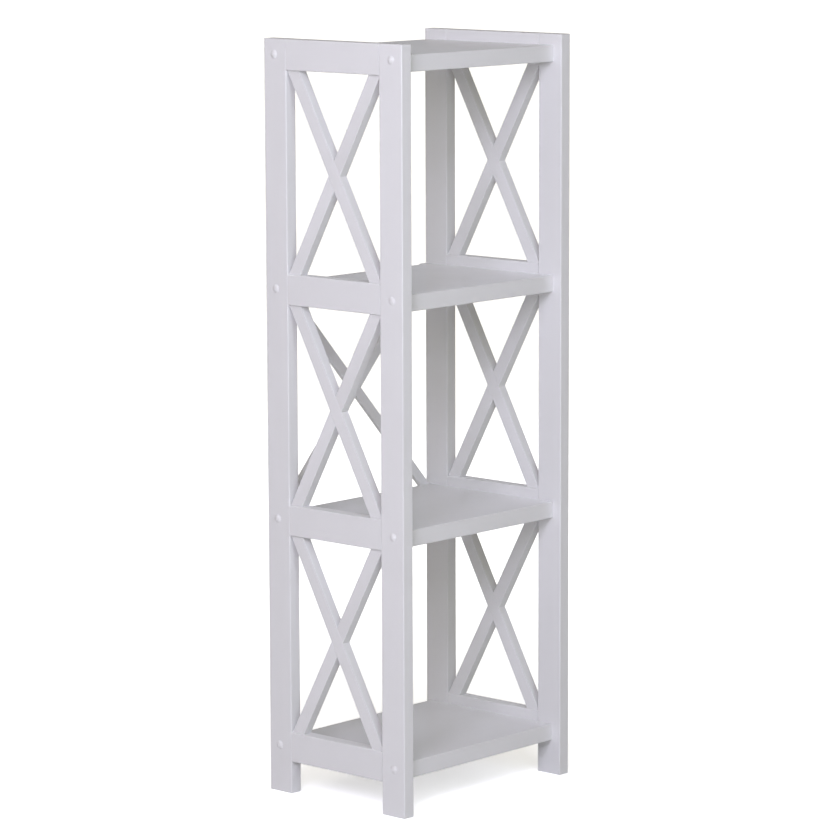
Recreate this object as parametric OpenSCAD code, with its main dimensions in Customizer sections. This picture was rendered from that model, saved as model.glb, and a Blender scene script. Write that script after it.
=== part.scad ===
// Slim open bookcase: two braced side frames, four shelves and one crossed brace at the back.
// +Z is up and the front faces -Y. The origin is on the floor, under the middle of the case.

/* [Overall] */
// Height from the floor to the top of the side frames
overall_h = 1040; // [800:1:1300]
// Width over the outer faces of the two side frames
overall_w = 343; // [280:1:520]
// Depth from the front edges to the rear edges of the stiles
overall_d = 252; // [225:1:380]

/* [Side frames] */
// Thickness of the stiles and rails
frame_t = 19; // [17:0.5:24]
// Width of each upright stile
stile_w = 41; // [38:1:56]
// Height of each rail
rail_h = 42; // [38:1:56]
// Height of the legs below the bottom rail
leg_h = 45; // [30:1:90]
// Radius of the eased edges along stiles, rails and shelves
edge_r = 1.5; // [0.5:0.1:2]

/* [Crossed slats] */
// Width of a side slat
slat_w = 19; // [15:0.5:24]
// Thickness of a side slat
slat_t = 14; // [12:0.5:14.5]
// How far the slats sit back from the outer face of the frame
slat_recess = 3; // [1:0.5:3]
// Radius of the eased edges along the slats
slat_edge_r = 0.5; // [0.4:0.1:1.2]
// Play at each side of a halved crossing
lap_gap = 0.15; // [0.05:0.05:0.3]

/* [Shelves] */
// Thickness of a shelf
shelf_t = 23; // [18:0.5:25]
// Depth of each shelf surface below the top edge of its rails
shelf_drop = 15; // [12:0.5:16]
// Set-back of the shelves from the front of the stiles
shelf_front_inset = 14; // [8:0.5:15]

/* [Back brace] */
// Width of a back slat
brace_w = 15; // [12:0.5:22]
// Thickness of a back slat, which is also the set-back of the shelves from the rear
brace_t = 7; // [4:0.5:8]
// How far the lower ends lap down over the rear edge of their shelf
brace_lap = 8; // [8:0.5:12]
// Radius of the eased edges along the back slats
brace_edge_r = 0.8; // [0.3:0.1:1]
// Height of a screw in a lower end above the cut of that end
brace_screw_rise = 4; // [3.5:0.5:5]

/* [Fasteners] */
// Diameter of the shelf screws
screw_d = 4; // [3:0.5:5]
// Diameter of their heads
screw_head_d = 8; // [7:0.5:9]
// Height of their heads
screw_head_h = 2.4; // [2:0.1:3]
// Length of shelf screw that bites into the shelf
screw_bite = 32; // [20:1:45]
// Distance from a shelf screw to the outer edge of its stile
screw_edge = 19; // [16:0.5:21]
// Diameter of the cover caps
cap_d = 12; // [10:0.5:16]
// Height that the caps stand proud of the frame
cap_h = 2.2; // [1.5:0.1:3]
// Diameter of the wooden dowels
dowel_d = 8; // [6:0.5:9]
// Depth of a dowel hole in a stile or in the end of a rail or shelf
dowel_depth = 15; // [10:1:16]
// Depth of a shelf dowel's hole in the rail
shelf_dowel_depth = 11; // [8:0.5:12]
// Distance between the two dowels in one rail end
rail_dowel_pitch = 18; // [17:0.5:20]
// Distance between the two dowels in one shelf end
shelf_dowel_pitch = 90; // [60:1:110]
// Diameter of the pins in the slat ends
pin_d = 3; // [2:0.5:4]
// Depth of a slat pin in the edge of the rail
pin_rail_depth = 5; // [4:0.5:5.5]
// Depth of a slat pin in the slat
pin_slat_depth = 12; // [8:0.5:14]
// Diameter of the back brace screws
brace_screw_d = 3; // [2.5:0.5:3.5]
// Diameter of their heads
brace_head_d = 6; // [5:0.5:7]
// Height of their heads
brace_head_h = 1.5; // [1:0.1:2]
// Length of brace screw that bites into the shelf
brace_bite = 9; // [6:0.5:9.5]
// Radial play of every screw, dowel and pin in its hole
hole_gap = 0.1; // [0.05:0.05:0.2]

/* [Hidden] */
$fn = 48;
BAYS = ["bottom", "middle", "top"];

paint = [0.86, 0.85, 0.88];
cap_plastic = [0.9, 0.89, 0.92];
beech = [0.76, 0.6, 0.42];
steel = [0.62, 0.62, 0.64];

// small overshoot that makes a cut pass right through a face
over = 1;

// hexagon socket in the head of a shelf screw
socket_d = 3.2;
socket_h = 1.6;

// levels: four rails, counted from 0 at the bottom to 3 at the top
levels = [0 : 3];
bays = [0 : 2];
level_pitch = (overall_h - leg_h - rail_h) / 3;
function rail_base(i) = leg_h + i * level_pitch;
function rail_mid(i) = rail_base(i) + rail_h / 2;
function shelf_top(i) = rail_base(i) + rail_h - shelf_drop;
function shelf_mid(i) = shelf_top(i) - shelf_t / 2;

// side frame, with its outer face at -overall_w / 2
face_x = -overall_w / 2;
inner_x = face_x + frame_t;
mid_x = face_x + frame_t / 2;
half_d = overall_d / 2;
bay_half_d = half_d - stile_w;
rail_len = 2 * bay_half_d;
screw_y = half_d - screw_edge;

// a slat crosses its opening so that one edge runs into each of two opposite corners
function lean(half_b, half_h, w) = atan(half_h / half_b) + asin(w / 2 / norm([half_b, half_h]));

bay_half_h = (level_pitch - rail_h) / 2;
function bay_mid(i) = rail_base(i) + rail_h + bay_half_h;
slat_angle = lean(bay_half_d, bay_half_h, slat_w);
slat_x = face_x + slat_recess + slat_t / 2;
slat_end_y = bay_half_h / tan(slat_angle);

// shelves run between the inner faces of the two frames
half_span = -inner_x;
shelf_front = -half_d + shelf_front_inset;
shelf_back = half_d - brace_t;

// back brace, from the lower shelf's rear edge to the top of the upper shelf
brace_low = shelf_top(1) - brace_lap;
brace_high = shelf_top(2);
brace_mid = (brace_low + brace_high) / 2;
brace_half_h = (brace_high - brace_low) / 2;
brace_angle = lean(half_span, brace_mid - shelf_top(1), brace_w);
brace_y = half_d - brace_t / 2;
// centres of the brace screws: two in the upper shelf and two in the lower one
function brace_axis_x(z) = abs(z - brace_mid) / tan(brace_angle);
brace_screw_low = brace_low + brace_screw_rise;
brace_screws_at = [for (z = [shelf_mid(2), brace_screw_low], s = [-1, 1]) [s * brace_axis_x(z), z]];

// places that a side frame's fasteners share with the pieces they join
rail_dowels_at = [for (i = levels, y = [-1, 1], z = [-1, 1])
    [mid_x, y * bay_half_d, rail_mid(i) + z * rail_dowel_pitch / 2]];
shelf_dowels_at = [for (i = levels, y = [-1, 1]) [inner_x, y * shelf_dowel_pitch / 2, shelf_mid(i)]];
shelf_screws_at = [for (i = levels, y = [-1, 1]) [face_x, y * screw_y, rail_mid(i)]];
// each entry is the middle of a slat's end and the way from the slat into the rail
slat_pins_at = [for (i = bays, y = [-1, 1], z = [-1, 1])
    [[slat_x, y * slat_end_y, bay_mid(i) + z * bay_half_h], z]];

// the right frame is the left one turned half a turn
module on_side(side) {
    rotate([0, 0, side == "left" ? 0 : 180]) children();
}

// a board's cross-section with its four edges eased
module eased_section(a, b, r) {
    square([a - 2 * r, b], center = true);
    square([a, b - 2 * r], center = true);
    for (x = [-1, 1], y = [-1, 1]) translate([x * (a / 2 - r), y * (b / 2 - r)]) circle(r);
}

// a straight bar that starts at z = 0 and runs up
module bar(a, b, len, r) {
    linear_extrude(height = len) eased_section(a, b, r);
}

// a bar tilted about the axis through its middle and cut level at both ends
module level_cut_bar(a, b, tilt, half_h, r) {
    span = 2 * half_h / cos(norm(tilt)) + 4 * (a + b);
    intersection() {
        rotate(tilt) translate([0, 0, -span / 2]) bar(a, b, span, r);
        cube([span, span, 2 * half_h], center = true);
    }
}

// a round hole along X, Y or Z from a point in the given direction
module hole(at, dir, d, depth) {
    translate(at) turn_to(dir) translate([0, 0, -over]) cylinder(d = d + 2 * hole_gap, h = depth + over);
}

// turns +Z to a direction along one of the axes
module turn_to(dir) {
    tilt = dir[2] < 0 ? [180, 0, 0] : [-90 * dir[1], 90 * dir[0], 0];
    rotate(tilt) children();
}

// stile of a side frame: end is 1 at +Y and -1 at -Y
module stile(side, end) {
    color(paint) on_side(side) difference() {
        translate([mid_x, end * (half_d - stile_w / 2), 0]) bar(frame_t, stile_w, overall_h, edge_r);
        for (p = rail_dowels_at) if (p[1] * end > 0) hole(p, [0, end, 0], dowel_d, dowel_depth);
        for (p = shelf_screws_at) if (p[1] * end > 0) {
            hole(p, [1, 0, 0], screw_head_d, screw_head_h);
            hole(p, [1, 0, 0], screw_d, frame_t + over);
        }
    }
}

// rail of a side frame at one level
module rail(side, i) {
    color(paint) on_side(side) difference() {
        translate([mid_x, bay_half_d, rail_mid(i)]) rotate([90, 0, 0]) bar(frame_t, rail_h, rail_len, edge_r);
        for (p = rail_dowels_at) hole(p, [0, -sign(p[1]), 0], dowel_d, dowel_depth);
        for (p = shelf_dowels_at) hole(p, [-1, 0, 0], dowel_d, shelf_dowel_depth);
        for (pin = slat_pins_at) hole(pin[0], [0, 0, pin[1]], pin_d, pin_rail_depth);
    }
}

// one slat before it is halved: lean_way is 1 when it rises to +Y
module slat_blank(i, lean_way, w, r) {
    translate([slat_x, 0, bay_mid(i)])
        level_cut_bar(slat_t, w, [-lean_way * (90 - slat_angle), 0, 0], bay_half_h, r);
}

// slat a rises to +Y and stays whole on the outer face, slat b rises to -Y and stays whole inside
module slat(side, i, which) {
    lean_way = which == "a" ? 1 : -1;
    color(paint) on_side(side) difference() {
        slat_blank(i, lean_way, slat_w, slat_edge_r);
        translate([lean_way * slat_t / 2, 0, 0]) intersection() {
            translate([slat_x, 0, bay_mid(i)]) cube([slat_t, rail_len, 4 * slat_w], center = true);
            translate([slat_x, 0, bay_mid(i)]) rotate([lean_way * (90 - slat_angle), 0, 0])
                cube([slat_t, slat_w + 2 * lap_gap, 4 * slat_w], center = true);
        }
        for (pin = slat_pins_at) if (pin[0][1] * pin[1] * lean_way > 0)
            hole(pin[0], [0, 0, -pin[1]], pin_d, pin_slat_depth);
    }
}

// shelf at one level
module shelf(i) {
    color(paint) difference() {
        translate([-half_span, (shelf_front + shelf_back) / 2, shelf_mid(i)]) rotate([0, 90, 0])
            bar(shelf_t, shelf_back - shelf_front, 2 * half_span, edge_r);
        for (side = ["left", "right"]) on_side(side) {
            for (p = shelf_dowels_at) hole(p, [1, 0, 0], dowel_d, dowel_depth);
            for (p = shelf_screws_at) hole([inner_x, p[1], p[2]], [1, 0, 0], screw_d, screw_bite);
        }
        for (p = brace_screws_at) hole([p[0], shelf_back, p[1]], [0, -1, 0], brace_screw_d, brace_bite);
    }
}

// crossed slat at the back: slat a rises to the left and stays whole in front
module back_brace_slat(which) {
    lean_way = which == "a" ? 1 : -1;
    tilt = [0, -lean_way * (90 - brace_angle), 0];
    color(paint) difference() {
        translate([0, brace_y, brace_mid]) intersection() {
            level_cut_bar(brace_w, brace_t, tilt, brace_half_h, brace_edge_r);
            cube([2 * half_span, 2 * brace_t, 3 * brace_half_h], center = true);
        }
        translate([0, brace_y + lean_way * brace_t / 2, brace_mid]) rotate(-tilt)
            cube([brace_w + 2 * lap_gap, brace_t, 4 * brace_w], center = true);
        for (p = brace_screws_at) {
            hole([p[0], half_d, p[1]], [0, -1, 0], brace_head_d, brace_head_h);
            hole([p[0], half_d, p[1]], [0, -1, 0], brace_screw_d, brace_t + over);
        }
    }
}

// dowel along +Z with chamfered ends
module dowel(len, d) {
    chamfer = d / 8;
    rotate_extrude() polygon([
        [0, 0], [d / 2 - chamfer, 0], [d / 2, chamfer],
        [d / 2, len - chamfer], [d / 2 - chamfer, len], [0, len]
    ]);
}

// screw along +Z from the top of its head, with a round-bottomed drive socket
module screw(d, head_d, head_h, len, socket_d, socket_h) {
    tip = d;
    difference() {
        union() {
            cylinder(d = head_d, h = head_h);
            cylinder(d = d, h = len - tip);
            translate([0, 0, len - tip]) cylinder(d1 = d, d2 = d / 4, h = tip);
        }
        translate([0, 0, -over]) cylinder(d = socket_d, h = socket_h + over);
    }
}

module rail_dowels(side) {
    color(beech) on_side(side) for (p = rail_dowels_at)
        translate(p) turn_to([0, 1, 0]) translate([0, 0, -dowel_depth]) dowel(2 * dowel_depth, dowel_d);
}

module slat_pins(side) {
    color(steel) on_side(side) for (pin = slat_pins_at)
        translate(pin[0]) turn_to([0, 0, pin[1]]) translate([0, 0, -pin_slat_depth])
            dowel(pin_slat_depth + pin_rail_depth, pin_d);
}

module shelf_dowels(side) {
    color(beech) on_side(side) for (p = shelf_dowels_at)
        translate(p) turn_to([1, 0, 0]) translate([0, 0, -shelf_dowel_depth])
            dowel(shelf_dowel_depth + dowel_depth, dowel_d);
}

module shelf_screws(side) {
    color(steel) on_side(side) for (p = shelf_screws_at)
        translate(p) turn_to([1, 0, 0])
            screw(screw_d, screw_head_d, screw_head_h, frame_t + screw_bite, socket_d, socket_h);
}

module back_brace_screws() {
    color(steel) for (p = brace_screws_at)
        translate([p[0], half_d, p[1]]) turn_to([0, -1, 0])
            screw(brace_screw_d, brace_head_d - 2 * hole_gap, brace_head_h, brace_t + brace_bite,
                brace_screw_d / 2, brace_head_h / 2);
}

// domed cap on a thin rim, with a peg that presses into the screw's socket
module cap() {
    rim_h = cap_h / 4;
    dome_h = cap_h - rim_h;
    dome_a = cap_d / 2 - rim_h;
    dome_r = (dome_a * dome_a + dome_h * dome_h) / (2 * dome_h);
    cylinder(d = cap_d, h = rim_h);
    intersection() {
        translate([0, 0, cap_h - dome_r]) sphere(dome_r);
        translate([0, 0, rim_h]) cylinder(d = cap_d, h = cap_h);
    }
    translate([0, 0, -socket_h]) cylinder(d = socket_d - 2 * hole_gap, h = socket_h + rim_h);
}

module screw_caps(side) {
    color(cap_plastic) on_side(side) for (p = shelf_screws_at) translate(p) turn_to([-1, 0, 0]) cap();
}

stile("left", -1);  // left_front_stile
stile("left", 1);  // left_rear_stile
stile("right", 1);  // right_front_stile
stile("right", -1);  // right_rear_stile
rail("left", 0);  // left_bottom_rail
rail("left", 1);  // left_lower_rail
rail("left", 2);  // left_upper_rail
rail("left", 3);  // left_top_rail
rail("right", 0);  // right_bottom_rail
rail("right", 1);  // right_lower_rail
rail("right", 2);  // right_upper_rail
rail("right", 3);  // right_top_rail
for (side = ["left", "right"], i = bays, which = ["a", "b"])
    slat(side, i, which);
shelf(0);  // bottom_shelf
shelf(1);  // lower_shelf
shelf(2);  // upper_shelf
shelf(3);  // top_shelf
back_brace_slat("a");  // back_brace_slat_a
back_brace_slat("b");  // back_brace_slat_b
rail_dowels("left");  // left_rail_dowels
rail_dowels("right");  // right_rail_dowels
slat_pins("left");  // left_slat_pins
slat_pins("right");  // right_slat_pins
shelf_dowels("left");  // left_shelf_dowels
shelf_dowels("right");  // right_shelf_dowels
shelf_screws("left");  // left_shelf_screws
shelf_screws("right");  // right_shelf_screws
screw_caps("left");  // left_screw_caps
screw_caps("right");  // right_screw_caps
back_brace_screws();
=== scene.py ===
"""Looks of a slim white bookcase: two painted side frames with crossed slats, four shelves,
a crossed brace at the back, screw caps and the fixings inside.

Everything is in metres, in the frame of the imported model: +Z up, the front faces -Y, and the
origin is on the floor under the middle of the bookcase.
"""

import logging
import math
from dataclasses import dataclass
from enum import Enum

import bmesh
import bpy
from mathutils import Matrix, Vector

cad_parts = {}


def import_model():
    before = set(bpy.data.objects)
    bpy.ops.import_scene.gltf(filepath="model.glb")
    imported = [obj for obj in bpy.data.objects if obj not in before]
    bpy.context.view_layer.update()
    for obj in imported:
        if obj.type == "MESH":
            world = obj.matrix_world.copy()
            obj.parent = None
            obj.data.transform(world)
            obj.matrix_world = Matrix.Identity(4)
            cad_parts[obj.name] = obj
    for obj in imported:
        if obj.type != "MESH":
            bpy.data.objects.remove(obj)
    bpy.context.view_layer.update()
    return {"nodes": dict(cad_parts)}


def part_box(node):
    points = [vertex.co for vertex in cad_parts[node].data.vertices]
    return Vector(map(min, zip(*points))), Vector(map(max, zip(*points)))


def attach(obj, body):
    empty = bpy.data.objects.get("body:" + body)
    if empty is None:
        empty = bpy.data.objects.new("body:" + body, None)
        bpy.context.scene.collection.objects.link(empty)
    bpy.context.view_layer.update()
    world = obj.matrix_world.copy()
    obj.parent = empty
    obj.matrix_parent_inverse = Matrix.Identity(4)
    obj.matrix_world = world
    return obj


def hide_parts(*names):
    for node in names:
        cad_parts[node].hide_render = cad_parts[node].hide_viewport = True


LOG = logging.getLogger("bookcase")
MM = 0.001
BODY = "root"
LEVELS = ("bottom", "lower", "upper", "top")
BAYS = ("bottom", "middle", "top")
Triple = tuple[float, float, float]
Profile = list[tuple[float, float]]
RIGHT = Vector((1.0, 0.0, 0.0))
BACK = Vector((0.0, 1.0, 0.0))
UP = Vector((0.0, 0.0, 1.0))
# the corners of a four-sided end, in order round it
CORNERS = ((-1, -1), (1, -1), (1, 1), (-1, 1))
# facets that turn by less than this are one flat face
FLAT = math.radians(0.1)
# an edge that turns by more than this stays sharp in the shading
CREASE = math.radians(40)
# corners that are closer than this are one corner
WELD = 0.001 * MM


class Side(Enum):
    """The two side frames, as seen from the front."""

    LEFT = "left"
    RIGHT = "right"

    @property
    def outward(self) -> Vector:
        """The way out of the bookcase on this side."""
        return RIGHT if self is Side.RIGHT else -RIGHT

    def node(self, part: str) -> str:
        """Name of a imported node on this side."""
        return f"{self.value}_{part}"


class Lean(Enum):
    """Which way a slat rises along the direction that its cross is measured in."""

    FORWARD = 1
    BACKWARD = -1


class Grain(Enum):
    """How noise is stretched so that it runs along a board, for each way a board can lie."""

    UPRIGHT = (6.0, 6.0, 0.5)
    FRONT_TO_BACK = (6.0, 0.5, 6.0)
    SIDE_TO_SIDE = (0.5, 6.0, 6.0)
    EVEN = (1.0, 1.0, 1.0)


# ---------------------------------------------------------------------------------------------
# Finishes
# ---------------------------------------------------------------------------------------------


@dataclass(frozen=True)
class Noise:
    """A pattern of noise.

    Attributes:
        scale: cells per metre.
        detail: octaves of detail.
    """

    scale: float
    detail: float


class NodeSheet:
    """A node material under construction, laid out from left to right."""

    STEP = 190
    NOISE_ROUGHNESS = 0.55

    def __init__(self, name: str) -> None:
        """Starts an empty node material.

        Args:
            name: name of the material.
        """
        self.material = bpy.data.materials.new(name)
        self.material.use_nodes = True
        self.tree = self.material.node_tree
        self.tree.nodes.clear()

    def add(self, kind: str, **values: object) -> bpy.types.Node:
        """Adds one node and fills in its sockets.

        Args:
            kind: the node's type.
            values: socket values by name, with _ for a space.

        Returns:
            The new node.
        """
        node = self.tree.nodes.new(kind)
        node.location = (self.STEP * len(self.tree.nodes), 0)
        for key, value in values.items():
            node.inputs[key.replace("_", " ")].default_value = value
        return node

    def join(self, source: bpy.types.NodeSocket, target: bpy.types.NodeSocket) -> None:
        """Links an output to an input."""
        self.tree.links.new(source, target)

    def noise(self, pattern: Noise, grain: Grain = Grain.EVEN) -> bpy.types.NodeSocket:
        """Adds noise in the bookcase's own coordinates.

        Args:
            pattern: its cells.
            grain: how the cells are stretched.

        Returns:
            The grey value, mostly from 0.3 to 0.7.
        """
        place = self.add("ShaderNodeTexCoord")
        stretch = self.add("ShaderNodeMapping", Scale=grain.value)
        noise = self.add(
            "ShaderNodeTexNoise", Scale=pattern.scale, Detail=pattern.detail,
            Roughness=self.NOISE_ROUGHNESS,
        )
        self.join(place.outputs["Object"], stretch.inputs["Vector"])
        self.join(stretch.outputs["Vector"], noise.inputs["Vector"])
        return noise.outputs["Fac"]

    def tint(self, grey: bpy.types.NodeSocket, dark: Triple, light: Triple) -> bpy.types.NodeSocket:
        """Turns a grey value into a colour.

        Args:
            grey: the value, mostly from 0.3 to 0.7.
            dark: colour at 0.35.
            light: colour at 0.65.

        Returns:
            The colour.
        """
        ramp = self.add("ShaderNodeValToRGB")
        for stop, colour, position in zip(ramp.color_ramp.elements, (dark, light), (0.35, 0.65)):
            stop.color = (*colour, 1.0)
            stop.position = position
        self.join(grey, ramp.inputs["Fac"])
        return ramp.outputs["Color"]

    def spread(self, grey: bpy.types.NodeSocket, low: float, high: float) -> bpy.types.NodeSocket:
        """Spreads a grey value from 0.3 to 0.7 over a range of its own.

        Args:
            grey: the value.
            low: result at 0.3.
            high: result at 0.7.

        Returns:
            The spread value.
        """
        node = self.add("ShaderNodeMapRange", From_Min=0.3, From_Max=0.7, To_Min=low, To_Max=high)
        self.join(grey, node.inputs["Value"])
        return node.outputs["Result"]

    def relief(
        self, grey: bpy.types.NodeSocket, height: float, strength: float,
        under: bpy.types.NodeSocket | None = None,
    ) -> bpy.types.NodeSocket:
        """Adds a bump.

        Args:
            grey: height of the relief, from 0 to 1.
            height: depth of the full relief in metres.
            strength: how much of it shows.
            under: a relief that this one lies on.

        Returns:
            The bumped normal.
        """
        bump = self.add("ShaderNodeBump", Strength=strength, Distance=height)
        self.join(grey, bump.inputs["Height"])
        if under is not None:
            self.join(under, bump.inputs["Normal"])
        return bump.outputs["Normal"]

    def surface(
        self, colour: bpy.types.NodeSocket, rough: bpy.types.NodeSocket,
        normal: bpy.types.NodeSocket, **values: object,
    ) -> bpy.types.Material:
        """Closes the material with its shader.

        Args:
            colour: base colour.
            rough: roughness.
            normal: bumped normal.
            values: what else is set on the shader.

        Returns:
            The finished material.
        """
        shader = self.add("ShaderNodeBsdfPrincipled", **values)
        self.join(colour, shader.inputs["Base Color"])
        self.join(rough, shader.inputs["Roughness"])
        self.join(normal, shader.inputs["Normal"])
        out = self.add("ShaderNodeOutputMaterial")
        self.join(shader.outputs["BSDF"], out.inputs["Surface"])
        return self.material


@dataclass(frozen=True)
class SprayedPaint:
    """Sprayed satin paint: a level film with fine orange peel and a trace of the wood's grain."""

    name: str
    grain: Grain
    dark: Triple = (0.785, 0.782, 0.795)
    light: Triple = (0.790, 0.787, 0.800)
    roughness: tuple[float, float] = (0.37, 0.41)
    mottle: Noise = Noise(14.0, 3.0)
    sheen: Noise = Noise(9.0, 2.0)
    peel: Noise = Noise(420.0, 2.0)
    peel_depth: float = 0.012 * MM
    peel_strength: float = 0.35
    fibre: Noise = Noise(90.0, 4.0)
    fibre_depth: float = 0.012 * MM
    fibre_strength: float = 0.25

    def make(self) -> bpy.types.Material:
        """Builds the paint's material.

        Returns:
            The material.
        """
        sheet = NodeSheet(self.name)
        colour = sheet.tint(sheet.noise(self.mottle, self.grain), self.dark, self.light)
        rough = sheet.spread(sheet.noise(self.sheen), *self.roughness)
        peel = sheet.relief(sheet.noise(self.peel), self.peel_depth, self.peel_strength)
        fibre = sheet.noise(self.fibre, self.grain)
        normal = sheet.relief(fibre, self.fibre_depth, self.fibre_strength, peel)
        return sheet.surface(colour, rough, normal, IOR=1.5)


@dataclass(frozen=True)
class MouldedPlastic:
    """White moulded plastic, smoother than the paint, with a fine moulded texture."""

    name: str = "cap_plastic"
    dark: Triple = (0.80, 0.795, 0.81)
    light: Triple = (0.83, 0.825, 0.84)
    roughness: tuple[float, float] = (0.24, 0.34)
    cloud: Noise = Noise(160.0, 2.0)
    grit: Noise = Noise(1500.0, 2.0)
    grit_depth: float = 0.02 * MM
    grit_strength: float = 0.2

    def make(self) -> bpy.types.Material:
        """Builds the plastic's material.

        Returns:
            The material.
        """
        sheet = NodeSheet(self.name)
        cloud = sheet.noise(self.cloud)
        colour = sheet.tint(cloud, self.dark, self.light)
        rough = sheet.spread(cloud, *self.roughness)
        grit = sheet.relief(sheet.noise(self.grit), self.grit_depth, self.grit_strength)
        return sheet.surface(colour, rough, grit, IOR=1.49)


@dataclass(frozen=True)
class BareBeech:
    """Unfinished beech, as dowels are, flecked along the grain."""

    name: str
    grain: Grain
    dark: Triple = (0.42, 0.25, 0.13)
    light: Triple = (0.66, 0.46, 0.28)
    roughness: tuple[float, float] = (0.55, 0.72)
    streak: Noise = Noise(130.0, 6.0)
    streak_depth: float = 0.08 * MM
    streak_strength: float = 0.4

    def make(self) -> bpy.types.Material:
        """Builds the wood's material.

        Returns:
            The material.
        """
        sheet = NodeSheet(self.name)
        streak = sheet.noise(self.streak, self.grain)
        colour = sheet.tint(streak, self.dark, self.light)
        rough = sheet.spread(streak, *self.roughness)
        normal = sheet.relief(streak, self.streak_depth, self.streak_strength)
        return sheet.surface(colour, rough, normal, IOR=1.5)


@dataclass(frozen=True)
class ZincPlate:
    """Bright zinc plating with cloudy patches and fine drawn scratches."""

    name: str = "zinc_plate"
    dark: Triple = (0.50, 0.51, 0.53)
    light: Triple = (0.66, 0.67, 0.69)
    roughness: tuple[float, float] = (0.26, 0.40)
    cloud: Noise = Noise(260.0, 3.0)
    scratch: Noise = Noise(700.0, 2.0)
    scratch_depth: float = 0.02 * MM
    scratch_strength: float = 0.15

    def make(self) -> bpy.types.Material:
        """Builds the metal's material.

        Returns:
            The material.
        """
        sheet = NodeSheet(self.name)
        cloud = sheet.noise(self.cloud)
        colour = sheet.tint(cloud, self.dark, self.light)
        rough = sheet.spread(cloud, *self.roughness)
        scratch = sheet.noise(self.scratch, Grain.FRONT_TO_BACK)
        normal = sheet.relief(scratch, self.scratch_depth, self.scratch_strength)
        return sheet.surface(colour, rough, normal, Metallic=1.0)


@dataclass(frozen=True)
class StudioFloor:
    """Matt pale floor. It lights the bookcase as matt board does, and the camera sees white paper.

    Attributes:
        board: colour of the board, at its lightest.
        mottling: how dark its darkest patches are, as a share of the board's colour.
        cloud: pattern of the patches.
        paper_gain: how much lighter than the board the camera sees it.
        glow: light added for the camera under the bookcase.
        far_glow: light added for the camera far away from it.
        near: where the added light starts to grow, from the middle of the floor.
        far: where it stops growing.
    """

    name: str = "studio_floor"
    board: Triple = (0.87, 0.87, 0.88)
    mottling: float = 0.99
    cloud: Noise = Noise(1.2, 2.0)
    paper_gain: float = 1.7
    glow: float = 0.45
    far_glow: float = 1.0
    near: float = 0.2
    far: float = 1.4

    def make(self) -> bpy.types.Material:
        """Builds the floor's material.

        Returns:
            The material.
        """
        sheet = NodeSheet(self.name)
        cloud = sheet.noise(self.cloud)
        board = sheet.add("ShaderNodeBsdfDiffuse")
        patches = tuple(self.mottling * part for part in self.board)
        sheet.join(sheet.tint(cloud, patches, self.board), board.inputs["Color"])
        white = [self.paper_gain * part for part in self.board]
        paper = sheet.add("ShaderNodeBsdfDiffuse", Color=(*white, 1.0))
        place = sheet.add("ShaderNodeTexCoord")
        reach = sheet.add("ShaderNodeVectorMath")
        reach.operation = "LENGTH"
        sheet.join(place.outputs["Object"], reach.inputs[0])
        fade = sheet.add("ShaderNodeMapRange", From_Min=self.near, From_Max=self.far)
        fade.interpolation_type = "SMOOTHSTEP"
        fade.inputs["To Min"].default_value = self.glow
        fade.inputs["To Max"].default_value = self.far_glow
        sheet.join(reach.outputs["Value"], fade.inputs["Value"])
        glow = sheet.add("ShaderNodeEmission")
        sheet.join(fade.outputs["Result"], glow.inputs["Strength"])
        bright = sheet.add("ShaderNodeAddShader")
        sheet.join(paper.outputs["BSDF"], bright.inputs[0])
        sheet.join(glow.outputs["Emission"], bright.inputs[1])
        seen = sheet.add("ShaderNodeLightPath")
        mix = sheet.add("ShaderNodeMixShader")
        sheet.join(seen.outputs["Is Camera Ray"], mix.inputs["Fac"])
        sheet.join(board.outputs["BSDF"], mix.inputs[1])
        sheet.join(bright.outputs["Shader"], mix.inputs[2])
        out = sheet.add("ShaderNodeOutputMaterial")
        sheet.join(mix.outputs["Shader"], out.inputs["Surface"])
        return sheet.material


class Finishes:
    """Every finish of the bookcase, made once."""

    def __init__(self) -> None:
        """Makes the materials."""
        glossier = (0.22, 0.25)
        self.stile = SprayedPaint("satin_paint_stile", Grain.UPRIGHT).make()
        self.rail = SprayedPaint("satin_paint_rail", Grain.FRONT_TO_BACK).make()
        self.slat = SprayedPaint("satin_paint_slat", Grain.UPRIGHT).make()
        self.shelf = SprayedPaint("satin_paint_shelf", Grain.SIDE_TO_SIDE, roughness=glossier).make()
        self.plastic = MouldedPlastic().make()
        self.rail_beech = BareBeech("beech_rail_dowel", Grain.FRONT_TO_BACK).make()
        self.shelf_beech = BareBeech("beech_shelf_dowel", Grain.SIDE_TO_SIDE).make()
        self.zinc = ZincPlate().make()


# ---------------------------------------------------------------------------------------------
# Mesh tools
# ---------------------------------------------------------------------------------------------


@dataclass(frozen=True)
class NodeBox:
    """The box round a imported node."""

    low: Vector
    high: Vector

    @classmethod
    def of(cls, node: str) -> "NodeBox":
        """Reads the box of a node."""
        return cls(*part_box(node))

    @property
    def middle(self) -> Vector:
        """Centre of the box."""
        return (self.low + self.high) / 2

    @property
    def half(self) -> Vector:
        """Half the lengths of the box's sides."""
        return (self.high - self.low) / 2

    def end(self, axis: Vector) -> list[Vector]:
        """Corners of the face that an axis points out of.

        Args:
            axis: unit vector along X, Y or Z, either way.

        Returns:
            Four corners in order round the axis.
        """
        side = UP if abs(axis.z) < 0.5 else RIGHT
        other = side.cross(axis)
        half = self.half
        reaches = [v * abs(v.dot(half)) for v in (axis, side, other)]
        centre = self.middle + reaches[0]
        return [centre + reaches[1] * s + reaches[2] * o for s, o in CORNERS]

    def ends(self, axis: Vector) -> tuple[list[Vector], list[Vector]]:
        """Matching corners of the two faces across an axis.

        Args:
            axis: unit vector along X, Y or Z, either way.

        Returns:
            Corners of the face that the axis points into, then of the face that it points out of.
        """
        far = self.end(axis)
        near = [corner - axis * abs(2 * axis.dot(self.half)) for corner in far]
        return near, far


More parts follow.
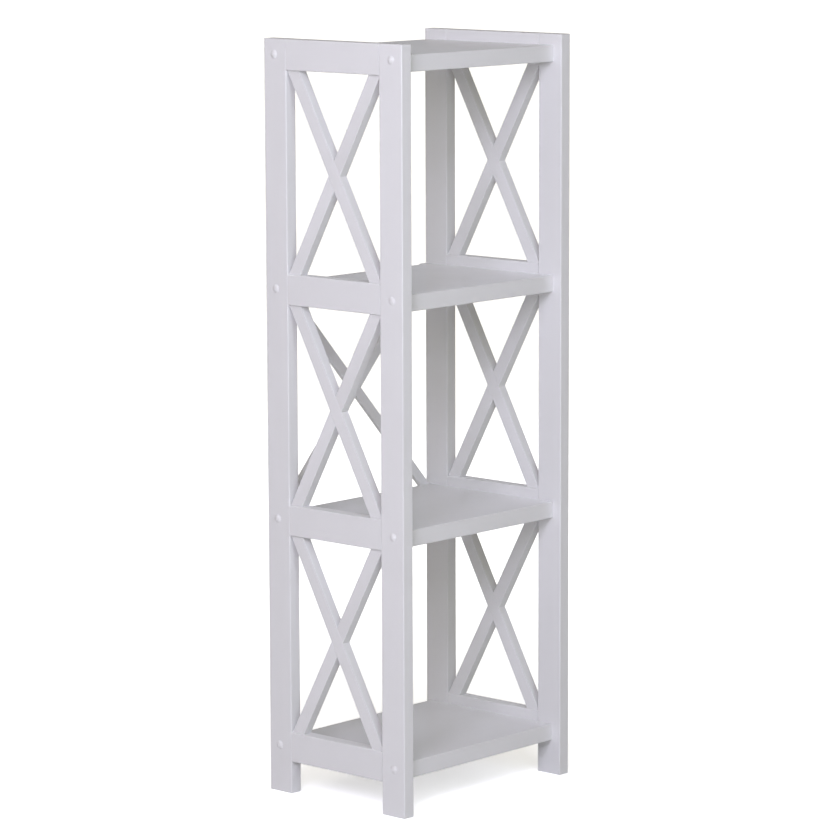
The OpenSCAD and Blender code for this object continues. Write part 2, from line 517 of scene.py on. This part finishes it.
@dataclass(frozen=True)
class Eased:
    """Radii of a bar's eased edges.

    Attributes:
        along: radius of the edges along the bar.
        ends: radius of the edges round its ends.
    """

    along: float
    ends: float


class Shaper:
    """Makes solids as meshes: straight bars with eased edges, and turned pieces."""

    SEGMENTS = 5
    END_SEGMENTS = 3
    NEAR_ENOUGH = 0.01 * MM

    def __init__(self, name: str) -> None:
        """Starts an empty shape.

        Args:
            name: name of the object that it becomes.
        """
        self.name = name
        self.shape = bmesh.new()

    def bar(self, near: list[Vector], far: list[Vector], eased: Eased) -> "Shaper":
        """Adds a bar between two four-cornered ends.

        Args:
            near: corners of one end, in order.
            far: the matching corners of the other end.
            eased: radii of its edges.

        Returns:
            This shaper.
        """
        first = [self.shape.verts.new(point) for point in near]
        last = [self.shape.verts.new(point) for point in far]
        faces = [self.shape.faces.new(first), self.shape.faces.new(list(reversed(last)))]
        for i, j in ((0, 1), (1, 2), (2, 3), (3, 0)):
            faces.append(self.shape.faces.new([first[j], first[i], last[i], last[j]]))
        bmesh.ops.recalc_face_normals(self.shape, faces=faces)
        planes = [(near[0], faces[0].normal.copy()), (far[0], faces[1].normal.copy())]
        along = [edge for a, b in zip(first, last) for edge in a.link_edges if b in edge.verts]
        if eased.along > 0:
            self._round(along, eased.along, self.SEGMENTS)
        if eased.ends > 0:
            self._round(self._rims(planes), eased.ends, self.END_SEGMENTS)
        return self

    def _rims(self, planes: list[tuple[Vector, Vector]]) -> list[bmesh.types.BMEdge]:
        """Edges round the faces that lie in the given planes.

        Args:
            planes: a point and the outward normal of each plane.

        Returns:
            The edges.
        """
        found = set()
        for point, normal in planes:
            for face in self.shape.faces:
                off = abs((face.calc_center_median() - point).dot(normal))
                if off < self.NEAR_ENOUGH and face.normal.dot(normal) > 0.999:
                    found.update(face.edges)
        return list(found)

    def _round(self, edges: list[bmesh.types.BMEdge], radius: float, segments: int) -> None:
        """Rounds edges to a radius.

        Args:
            edges: the edges.
            radius: their radius.
            segments: how many flats make up the round.
        """
        bmesh.ops.bevel(
            self.shape, geom=edges, offset=radius, offset_type="OFFSET", segments=segments,
            profile=0.5, affect="EDGES", clamp_overlap=True,
        )

    def trim(self, point: Vector, outward: Vector) -> "Shaper":
        """Cuts the shape off at a plane.

        Args:
            point: a point in the plane.
            outward: the side of the plane that goes.

        Returns:
            This shaper.
        """
        everything = [*self.shape.verts, *self.shape.edges, *self.shape.faces]
        done = bmesh.ops.bisect_plane(
            self.shape, geom=everything, dist=self.NEAR_ENOUGH / 10, plane_co=point,
            plane_no=outward, clear_outer=True,
        )
        cut = [part for part in done["geom_cut"] if isinstance(part, bmesh.types.BMEdge)]
        bmesh.ops.edgeloop_fill(self.shape, edges=[edge for edge in cut if edge.is_boundary])
        return self

    def lathe(self, profile: Profile, place: Matrix, steps: int) -> "Shaper":
        """Adds a closed solid turned about the Z axis of its own place.

        Args:
            profile: radius and height of each ring, from the lowest up.
            place: where the solid stands.
            steps: how many flats go round it.

        Returns:
            This shaper.
        """
        turns = [2 * math.pi * k / steps for k in range(steps)]
        rings = [
            [self.shape.verts.new(place @ Vector((r * math.cos(t), r * math.sin(t), z))) for t in turns]
            for r, z in profile
        ]
        for lower, upper in zip(rings, rings[1:]):
            for k in range(steps):
                j = (k + 1) % steps
                self.shape.faces.new([lower[k], lower[j], upper[j], upper[k]])
        self.shape.faces.new(list(reversed(rings[0])))
        self.shape.faces.new(rings[-1])
        return self

    def done(self) -> bpy.types.Object:
        """Turns the shape into an object in the scene.

        Returns:
            The object.
        """
        bmesh.ops.recalc_face_normals(self.shape, faces=self.shape.faces)
        data = bpy.data.meshes.new(self.name)
        self.shape.to_mesh(data)
        self.shape.free()
        made = bpy.data.objects.new(self.name, data)
        bpy.context.scene.collection.objects.link(made)
        return made


def welded(solid: bpy.types.Object) -> bpy.types.Object:
    """Copies a solid with its split corners joined, so that it can serve as a cutter.

    Args:
        solid: the solid, which stays as it is.

    Returns:
        The copy, in the scene.
    """
    shape = bmesh.new()
    shape.from_mesh(solid.data)
    bmesh.ops.remove_doubles(shape, verts=shape.verts, dist=WELD)
    data = bpy.data.meshes.new(f"{solid.name}_cutter")
    shape.to_mesh(data)
    shape.free()
    copy = bpy.data.objects.new(data.name, data)
    copy.matrix_world = solid.matrix_world
    bpy.context.scene.collection.objects.link(copy)
    return copy


def take_away(piece: bpy.types.Object, cutters: list[bpy.types.Object]) -> None:
    """Cuts closed meshes out of a piece for good.

    Args:
        piece: the mesh that is cut.
        cutters: what is taken away. They stay as they are.

    Raises:
        RuntimeError: if a cut changes nothing.
    """
    copies = [welded(cutter) for cutter in cutters]
    before = len(piece.data.polygons)
    for copy in copies:
        modifier = piece.modifiers.new("cut", "BOOLEAN")
        modifier.operation = "DIFFERENCE"
        modifier.solver = "MANIFOLD"
        modifier.object = copy
    bpy.context.view_layer.update()
    graph = bpy.context.evaluated_depsgraph_get()
    result = bpy.data.meshes.new_from_object(piece.evaluated_get(graph))
    piece.modifiers.clear()
    if len(result.polygons) == before:
        raise RuntimeError(f"nothing was cut out of {piece.name}")
    scrap(*copies)
    merge_flat_faces(result)
    old = piece.data
    piece.data = result
    bpy.data.meshes.remove(old)
    result.name = piece.name


def merge_flat_faces(data: bpy.types.Mesh) -> None:
    """Joins the facets of each flat face, so that the whole face shades as one.

    Args:
        data: the mesh that is changed.
    """
    shape = bmesh.new()
    shape.from_mesh(data)
    bmesh.ops.dissolve_limit(shape, angle_limit=FLAT, verts=shape.verts, edges=shape.edges)
    shape.to_mesh(data)
    shape.free()


def scrap(*cutters: bpy.types.Object) -> None:
    """Removes cutters that have done their work."""
    for cutter in cutters:
        bpy.data.meshes.remove(cutter.data)


def dress(
    piece: bpy.types.Object, material: bpy.types.Material, node: str,
) -> bpy.types.Object:
    """Smooths a piece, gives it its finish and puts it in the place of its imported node.

    Args:
        piece: the finished mesh.
        material: its finish.
        node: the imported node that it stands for.

    Returns:
        The piece.
    """
    data = piece.data
    data.materials.clear()
    data.materials.append(material)
    data.shade_smooth()
    data.set_sharp_from_angle(angle=CREASE)
    flat = piece.modifiers.new("flat_faces", "WEIGHTED_NORMAL")
    flat.keep_sharp = True
    flat.weight = 100
    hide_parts(node)
    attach(piece, BODY)
    return piece


# ---------------------------------------------------------------------------------------------
# The bookcase
# ---------------------------------------------------------------------------------------------


@dataclass
class Cross:
    """The layout of two slats that cross an opening and are halved into each other."""

    middle: Vector
    normal: Vector
    across: Vector
    thick: float
    width: float
    half_height: float
    angle: float
    gap: float = 0.15 * MM

    @staticmethod
    def lean_into_corner(half_span: float, half_rise: float, width: float) -> float:
        """Angle above the level at which a slat's edge runs into the corner of its opening.

        Args:
            half_span: half the span to the corner.
            half_rise: half the rise to the corner.
            width: width of the slat.

        Returns:
            The angle in radians.
        """
        return math.atan2(half_rise, half_span) + math.asin(width / 2 / math.hypot(half_span, half_rise))

    def end(self, lean: Lean, top: bool) -> list[Vector]:
        """Corners of a slat's level end.

        Args:
            lean: which way the slat rises.
            top: whether the upper end is meant.

        Returns:
            Four corners in order.
        """
        sign = 1 if top else -1
        run = self.half_height / math.tan(self.angle)
        centre = self.middle + self.across * (lean.value * sign * run) + UP * (sign * self.half_height)
        out = self.normal * (self.thick / 2)
        over = self.across * (self.width / 2 / math.sin(self.angle))
        return [centre - out - over, centre + out - over, centre + out + over, centre - out + over]

    def bar(self, name: str, lean: Lean, edges: Eased) -> Shaper:
        """Starts a slat.

        Args:
            name: name of the piece.
            lean: which way it rises.
            edges: radii of its edges.

        Returns:
            The shaper that holds the whole slat, not yet halved.
        """
        return Shaper(name).bar(self.end(lean, False), self.end(lean, True), edges)

    def notch(self, lean: Lean, outer: bool) -> bpy.types.Object:
        """The block that the crossing slat takes out of this one.

        Args:
            lean: which way this slat rises.
            outer: whether the outer half of its thickness goes.

        Returns:
            The cutter.
        """
        rise = self.across * (-lean.value * math.cos(self.angle)) + UP * math.sin(self.angle)
        over = rise.cross(self.normal) * (self.width / 2 + self.gap)
        depth = self.normal * (self.thick if outer else -self.thick)
        reach = rise * (2 * self.width)
        ends = [[p - over, p + over, p + over + depth, p - over + depth] for p in (-reach, reach)]
        near, far = ([self.middle + corner for corner in end] for end in ends)
        return Shaper("notch").bar(near, far, Eased(0, 0)).done()


@dataclass
class SideFrame:
    """Two stiles, four rails and three crosses of slats, held by dowels, pins and screws."""

    side: Side
    finishes: Finishes
    nodes: dict[str, bpy.types.Object]
    stile_edges: Eased = Eased(1.5 * MM, 0.8 * MM)
    rail_edges: Eased = Eased(1.5 * MM, 0.25 * MM)
    slat_edges: Eased = Eased(0.5 * MM, 0.2 * MM)
    slat_width: float = 19.0 * MM

    def build(self) -> list[bpy.types.Object]:
        """Makes the whole frame."""
        return [*self.stiles(), *self.rails(), *self.slats()]

    def stiles(self) -> list[bpy.types.Object]:
        """Makes the two uprights, bored for the rail dowels and the shelf screws.

        Returns:
            The front stile and the rear stile.
        """
        bores = [self.side.node("rail_dowels"), self.side.node("shelf_screws")]
        names = [self.side.node(f"{end}_stile") for end in ("front", "rear")]
        return [self._board(name, UP, self.stile_edges, self.finishes.stile, bores) for name in names]

    def rails(self) -> list[bpy.types.Object]:
        """Makes the four rails, bored for dowels and slat pins.

        Returns:
            The rails, from the lowest up.
        """
        bores = [self.side.node(part) for part in ("rail_dowels", "shelf_dowels", "slat_pins")]
        names = [self.side.node(f"{level}_rail") for level in LEVELS]
        return [self._board(name, BACK, self.rail_edges, self.finishes.rail, bores) for name in names]

    def slats(self) -> list[bpy.types.Object]:
        """Makes the six slats, halved where they cross and bored for their pins.

        Returns:
            Two slats for each bay, from the lowest up.
        """
        pins = self.nodes[self.side.node("slat_pins")]
        made = []
        for bay in BAYS:
            cross = self._cross(NodeBox.of(self.side.node(f"{bay}_slat_a")))
            for letter, lean, loses_outer in (("a", Lean.FORWARD, False), ("b", Lean.BACKWARD, True)):
                name = self.side.node(f"{bay}_slat_{letter}")
                piece = cross.bar(f"{name}_painted", lean, self.slat_edges).done()
                notch = cross.notch(lean, loses_outer)
                take_away(piece, [notch, pins])
                scrap(notch)
                made.append(dress(piece, self.finishes.slat, name))
        return made

    def _cross(self, opening: NodeBox) -> Cross:
        """Lays out the cross that fills one opening.

        Args:
            opening: box of the opening, which both slats fill from corner to corner.

        Returns:
            The layout of its two slats.
        """
        angle = Cross.lean_into_corner(opening.half.y, opening.half.z, self.slat_width)
        out = self.side.outward
        towards = BACK * -out.x
        thick = 2 * opening.half.x
        return Cross(opening.middle, out, towards, thick, self.slat_width, opening.half.z, angle)

    def _board(
        self, name: str, along: Vector, eased: Eased, material: bpy.types.Material, bores: list[str],
    ) -> bpy.types.Object:
        """Makes one straight member.

        Args:
            name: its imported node.
            along: unit vector along it.
            eased: radii of its edges.
            material: its finish.
            bores: packed fixings whose holes it has.

        Returns:
            The member.
        """
        piece = Shaper(f"{name}_painted").bar(*NodeBox.of(name).ends(along), eased).done()
        take_away(piece, [self.nodes[bore] for bore in bores])
        return dress(piece, material, name)


@dataclass
class Shelves:
    """Four shelves between the frames."""

    finishes: Finishes
    nodes: dict[str, bpy.types.Object]
    edges: Eased = Eased(1.5 * MM, 0.3 * MM)

    def build(self) -> list[bpy.types.Object]:
        """Makes the shelves, bored for dowels and screws.

        Returns:
            The shelves, from the lowest up.
        """
        bores = [side.node(part) for side in Side for part in ("shelf_dowels", "shelf_screws")]
        bores.append("back_brace_screws")
        made = []
        for level in LEVELS:
            name = f"{level}_shelf"
            piece = Shaper(f"{name}_painted").bar(*NodeBox.of(name).ends(RIGHT), self.edges).done()
            take_away(piece, [self.nodes[bore] for bore in bores])
            made.append(dress(piece, self.finishes.shelf, name))
        return made


@dataclass
class BackBrace:
    """Two thin slats halved across each other behind the middle bay, and their four screws.

    Attributes:
        low_screw_rise: height of the lower screws above the slats' lower ends.
        play: gap round a screw in its bore.
        drive: length, width and depth of one arm of the cross in a screw's head.
        drive_taper: size of that arm at its foot and at its mouth, as shares of its size.
        broken_edge: how far a screw's sharp edges are taken back.
    """

    finishes: Finishes
    width: float = 15.0 * MM
    edges: Eased = Eased(0.8 * MM, 0.2 * MM)
    head_radius: float = 2.9 * MM
    head_height: float = 1.5 * MM
    shank_radius: float = 1.5 * MM
    screw_length: float = 16.0 * MM
    low_screw_rise: float = 4.0 * MM
    play: float = 0.1 * MM
    drive: Triple = (3.4 * MM, 0.7 * MM, 0.9 * MM)
    drive_taper: tuple[float, float] = (0.6, 1.4)
    broken_edge: float = 0.2 * MM
    steps: int = 40

    def __post_init__(self) -> None:
        """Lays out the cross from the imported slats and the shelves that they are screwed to."""
        names = ("back_brace_slat_a", "lower_shelf", "upper_shelf")
        box, lower, upper = (NodeBox.of(name) for name in names)
        self.half_span = box.half.x
        angle = Cross.lean_into_corner(self.half_span, box.middle.z - lower.high.z, self.width)
        self.cross = Cross(box.middle, BACK, -RIGHT, 2 * box.half.y, self.width, box.half.z, angle)
        self.screw_levels = (box.low.z + self.low_screw_rise, upper.middle.z)

    def build(self) -> list[bpy.types.Object]:
        """Makes both slats and the screws."""
        return [*self.slats(), self.screws()]

    def slats(self) -> list[bpy.types.Object]:
        """Makes the slats, trimmed to the frames, halved and counterbored.

        Returns:
            The two slats.
        """
        head, shank = self.head_radius + self.play, self.shank_radius + self.play
        through = 2 * self.cross.thick
        step = -self.head_height
        bore = [(shank, -through), (shank, step), (head, step), (head, through)]
        bores = self._lathed("brace_bores", bore)
        made = []
        for letter, lean, loses_outer in (("a", Lean.FORWARD, True), ("b", Lean.BACKWARD, False)):
            name = f"back_brace_slat_{letter}"
            slat = self.cross.bar(f"{name}_painted", lean, self.edges)
            for outward in (RIGHT, -RIGHT):
                slat.trim(outward * self.half_span, outward)
            piece = slat.done()
            notch = self.cross.notch(lean, loses_outer)
            take_away(piece, [notch, bores])
            scrap(notch)
            made.append(dress(piece, self.finishes.slat, name))
        scrap(bores)
        return made

    def screws(self) -> bpy.types.Object:
        """Makes the four screws as one object, their heads flush with the slats' backs.

        Returns:
            The screws.
        """
        edge = self.broken_edge
        profile = [
            (edge, -self.screw_length),
            (self.shank_radius, 2 * self.shank_radius - self.screw_length),
            (self.shank_radius, -self.head_height),
            (self.head_radius - edge, -self.head_height),
            (self.head_radius, edge - self.head_height),
            (self.head_radius, -edge),
            (self.head_radius - edge, 0.0),
        ]
        screws = self._lathed("back_brace_screws_zinc", profile)
        drives = Shaper("drives")
        for place in self._screw_places():
            for turn in (45, 135):
                self._drive_arm(drives, place @ Matrix.Rotation(math.radians(turn), 4, "Z"))
        cutter = drives.done()
        take_away(screws, [cutter])
        scrap(cutter)
        return dress(screws, self.finishes.zinc, "back_brace_screws")

    def _drive_arm(self, shaper: Shaper, place: Matrix) -> None:
        """Adds one arm of a cross drive, wider at its mouth than at its foot.

        Args:
            shaper: the shape that it is added to.
            place: centre of the screw's head, with +Z out of it.
        """
        length, wide, deep = self.drive
        foot, mouth = self.drive_taper
        ends = []
        for scale, z in ((foot, -deep), (mouth, deep)):
            reach, spread = length / 2 * scale, wide / 2 * scale
            ends.append([place @ Vector((x * reach, y * spread, z)) for x, y in CORNERS])
        shaper.bar(*ends, Eased(0, 0))

    def _lathed(self, name: str, profile: Profile) -> bpy.types.Object:
        """Turns the same profile at each of the four screws.

        Args:
            name: name of the object.
            profile: radius and height of each ring, from the lowest up.

        Returns:
            All four as one object.
        """
        shaper = Shaper(name)
        for place in self._screw_places():
            shaper.lathe(profile, place, self.steps)
        return shaper.done()

    def _screw_places(self) -> list[Matrix]:
        """Centre of each screw's head, with +Z out of the back.

        Returns:
            The lower pair, then the upper pair.
        """
        back = self.cross.middle.y + self.cross.thick / 2
        face_back = Matrix.Rotation(math.radians(-90), 4, "X")
        places = []
        for level in self.screw_levels:
            reach = abs(level - self.cross.middle.z) / math.tan(self.cross.angle)
            for x in (-reach, reach):
                places.append(Matrix.Translation((x, back, level)) @ face_back)
        return places


@dataclass
class ScrewCaps:
    """Domed caps over the shelf screws on the outside of a frame.

    Attributes:
        rim: height of the straight rim under the dome.
        shoulder: how far the dome stands in from the rim.
        from_stile_edge: from a cap's centre to the outer edge of its stile.
        broken_edge: how far the rim's sharp edges are taken back.
    """

    side: Side
    finishes: Finishes
    radius: float = 6.0 * MM
    height: float = 2.2 * MM
    rim: float = 0.45 * MM
    shoulder: float = 0.5 * MM
    peg_radius: float = 1.5 * MM
    peg_depth: float = 1.6 * MM
    from_stile_edge: float = 19.0 * MM
    broken_edge: float = 0.12 * MM
    steps: int = 64
    dome_rings: int = 12

    def profile(self) -> Profile:
        """Lays out a cap's rings, from the peg's tip out to the top of the dome.

        Returns:
            Radius and height of each ring.
        """
        edge = self.broken_edge
        rings = [
            (self.peg_radius, -self.peg_depth),
            (self.peg_radius, 0.0),
            (self.radius - edge, 0.0),
            (self.radius, edge),
            (self.radius, self.rim - edge),
            (self.radius - edge, self.rim),
        ]
        dome_foot, rise = self.radius - self.shoulder, self.height - self.rim
        ball = (dome_foot**2 + rise**2) / (2 * rise)
        open_angle = math.asin(dome_foot / ball)
        for k in range(self.dome_rings):
            turn = open_angle * (1 - k / self.dome_rings)
            rings.append((ball * math.sin(turn), self.height - ball + ball * math.cos(turn)))
        rings.append((edge, self.height))
        return rings

    def build(self) -> list[bpy.types.Object]:
        """Makes the eight caps of this frame as one object.

        Returns:
            The one object.
        """
        out = self.side.outward
        shaper = Shaper(self.side.node("screw_caps_moulded"))
        turn = Matrix.Rotation(math.radians(90) * out.x, 4, "Y")
        for level in LEVELS:
            height = NodeBox.of(self.side.node(f"{level}_rail")).middle.z
            for end, inward in (("front", BACK), ("rear", -BACK)):
                stile = NodeBox.of(self.side.node(f"{end}_stile"))
                outer_edge = stile.middle - inward * stile.half.y + out * stile.half.x
                spot = outer_edge + inward * self.from_stile_edge
                spot.z = height
                shaper.lathe(self.profile(), Matrix.Translation(spot) @ turn, self.steps)
        node = self.side.node("screw_caps")
        return [dress(shaper.done(), self.finishes.plastic, node)]


@dataclass
class HiddenFixings:
    """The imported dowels, pins and screws inside the joints, which keep their own shape."""

    finishes: Finishes
    nodes: dict[str, bpy.types.Object]

    def build(self) -> list[bpy.types.Object]:
        """Gives each of them its bare material.

        Returns:
            The fixings.
        """
        finish = {
            "rail_dowels": self.finishes.rail_beech,
            "shelf_dowels": self.finishes.shelf_beech,
            "slat_pins": self.finishes.zinc,
            "shelf_screws": self.finishes.zinc,
        }
        made = []
        for side in Side:
            for part, material in finish.items():
                piece = self.nodes[side.node(part)]
                piece.data.materials.clear()
                piece.data.materials.append(material)
                made.append(piece)
        return made


# ---------------------------------------------------------------------------------------------
# Studio
# ---------------------------------------------------------------------------------------------


@dataclass(frozen=True)
class SoftBox:
    """A square soft light that looks at the middle of the bookcase from a bearing and a height.

    The bearing is in degrees from the front round to the left, and the rise is in degrees
    above the level.
    """

    name: str
    bearing: float
    rise: float
    width: float
    height: float
    power: float
    colour: Triple
    distance: float = 3.2
    target: Triple = (0.0, 0.0, 0.52)

    def hang(self) -> bpy.types.Object:
        """Puts the light in the scene.

        Returns:
            The light.
        """
        data = bpy.data.lights.new(self.name, "AREA")
        data.shape = "RECTANGLE"
        data.size = self.width
        data.size_y = self.height
        data.energy = self.power
        data.color = self.colour
        lamp = bpy.data.objects.new(self.name, data)
        turn, lift = math.radians(self.bearing), math.radians(self.rise)
        level = math.cos(lift)
        away = Vector((-math.sin(turn) * level, -math.cos(turn) * level, math.sin(lift)))
        lamp.location = Vector(self.target) + away * self.distance
        lamp.rotation_mode = "QUATERNION"
        lamp.rotation_quaternion = (-away).to_track_quat("-Z", "Y")
        lamp.visible_camera = False
        bpy.context.scene.collection.objects.link(lamp)
        return lamp


@dataclass
class Studio:
    """Pale floor, soft lights and a plain surround."""

    floor_size: float = 60.0
    floor_drop: float = 0.05 * MM
    surround: Triple = (0.144, 0.128, 0.08)
    paper: Triple = (1.0, 1.0, 1.0)

    def build(self) -> None:
        """Sets the studio up."""
        self.lay_floor()
        self.set_surround()
        for lamp in self.soft_boxes():
            lamp.hang()
        bpy.context.scene.view_settings.view_transform = "Standard"

    def lay_floor(self) -> None:
        """Lays the floor just under the feet."""
        shape = bmesh.new()
        bmesh.ops.create_grid(shape, x_segments=1, y_segments=1, size=self.floor_size / 2)
        data = bpy.data.meshes.new("floor")
        shape.to_mesh(data)
        shape.free()
        floor = bpy.data.objects.new("floor", data)
        floor.location.z = -self.floor_drop
        data.materials.append(StudioFloor().make())
        bpy.context.scene.collection.objects.link(floor)

    def set_surround(self) -> None:
        """Fills the room with dim even light, behind which the backdrop reads as white paper."""
        world = bpy.data.worlds.new("surround")
        world.use_nodes = True
        nodes, links = world.node_tree.nodes, world.node_tree.links
        light = nodes["Background"]
        light.inputs["Color"].default_value = (*self.surround, 1.0)
        paper = nodes.new("ShaderNodeBackground")
        paper.inputs["Color"].default_value = (*self.paper, 1.0)
        seen = nodes.new("ShaderNodeLightPath")
        mix = nodes.new("ShaderNodeMixShader")
        links.new(seen.outputs["Is Camera Ray"], mix.inputs["Fac"])
        links.new(light.outputs["Background"], mix.inputs[1])
        links.new(paper.outputs["Background"], mix.inputs[2])
        links.new(mix.outputs["Shader"], nodes["World Output"].inputs["Surface"])
        bpy.context.scene.world = world

    def soft_boxes(self) -> list[SoftBox]:
        """The studio's soft lights.

        Returns:
            The lights, not yet hung.
        """
        return [
            SoftBox("key_box", 60, 25, 1.2, 1.2, 49.0, (0.87, 0.845, 1.0)),
            SoftBox("high_box", 30, 45, 1.2, 1.2, 20.0, (0.81, 0.86, 1.0)),
            SoftBox("fill_box", 30, 15, 1.4, 1.4, 16.4, (0.92, 1.0, 0.955)),
            SoftBox("rear_left_box", 130, 40, 1.4, 1.4, 11.6, (0.985, 0.96, 1.0)),
            SoftBox("rear_card", -132, 12, 3.0, 1.5, 6.5, (0.77, 0.815, 1.0)),
            SoftBox("right_box", -96, 14, 1.6, 1.6, 13.0, (0.92, 0.93, 1.0)),
        ]


@dataclass
class Viewpoint:
    """The camera, set by where it stands and which way it looks."""

    place: Triple = (-3.885, -3.520, 1.323)
    heading: float = math.radians(47.83)
    pitch: float = math.radians(-8.80)
    roll: float = math.radians(-0.185)
    lens: float = 164.7
    sensor: float = 36.0

    def build(self) -> bpy.types.Object:
        """Makes the scene's camera.

        Returns:
            The camera.
        """
        data = bpy.data.cameras.new("viewpoint")
        data.lens = self.lens
        data.sensor_width = self.sensor
        data.dof.use_dof = False
        camera = bpy.data.objects.new("viewpoint", data)
        level = math.cos(self.pitch)
        east, north = level * math.sin(self.heading), level * math.cos(self.heading)
        ahead = Vector((east, north, math.sin(self.pitch)))
        turn = ahead.to_track_quat("-Z", "Y").to_matrix().to_4x4()
        camera.matrix_world = Matrix.Translation(self.place) @ turn @ Matrix.Rotation(self.roll, 4, "Z")
        bpy.context.scene.collection.objects.link(camera)
        bpy.context.scene.camera = camera
        return camera


def main() -> None:
    """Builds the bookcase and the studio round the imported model."""
    logging.basicConfig(level=logging.INFO, format="%(name)s: %(message)s")
    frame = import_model()
    nodes = frame["nodes"]
    Viewpoint().build()
    Studio().build()
    finishes = Finishes()
    parts = []
    for side in Side:
        parts += [SideFrame(side, finishes, nodes), ScrewCaps(side, finishes)]
    parts += [Shelves(finishes, nodes), BackBrace(finishes), HiddenFixings(finishes, nodes)]
    for part in parts:
        for piece in part.build():
            LOG.info("%s: %s, %d faces", type(part).__name__, piece.name, len(piece.data.polygons))


if __name__ == "__main__":
    main()
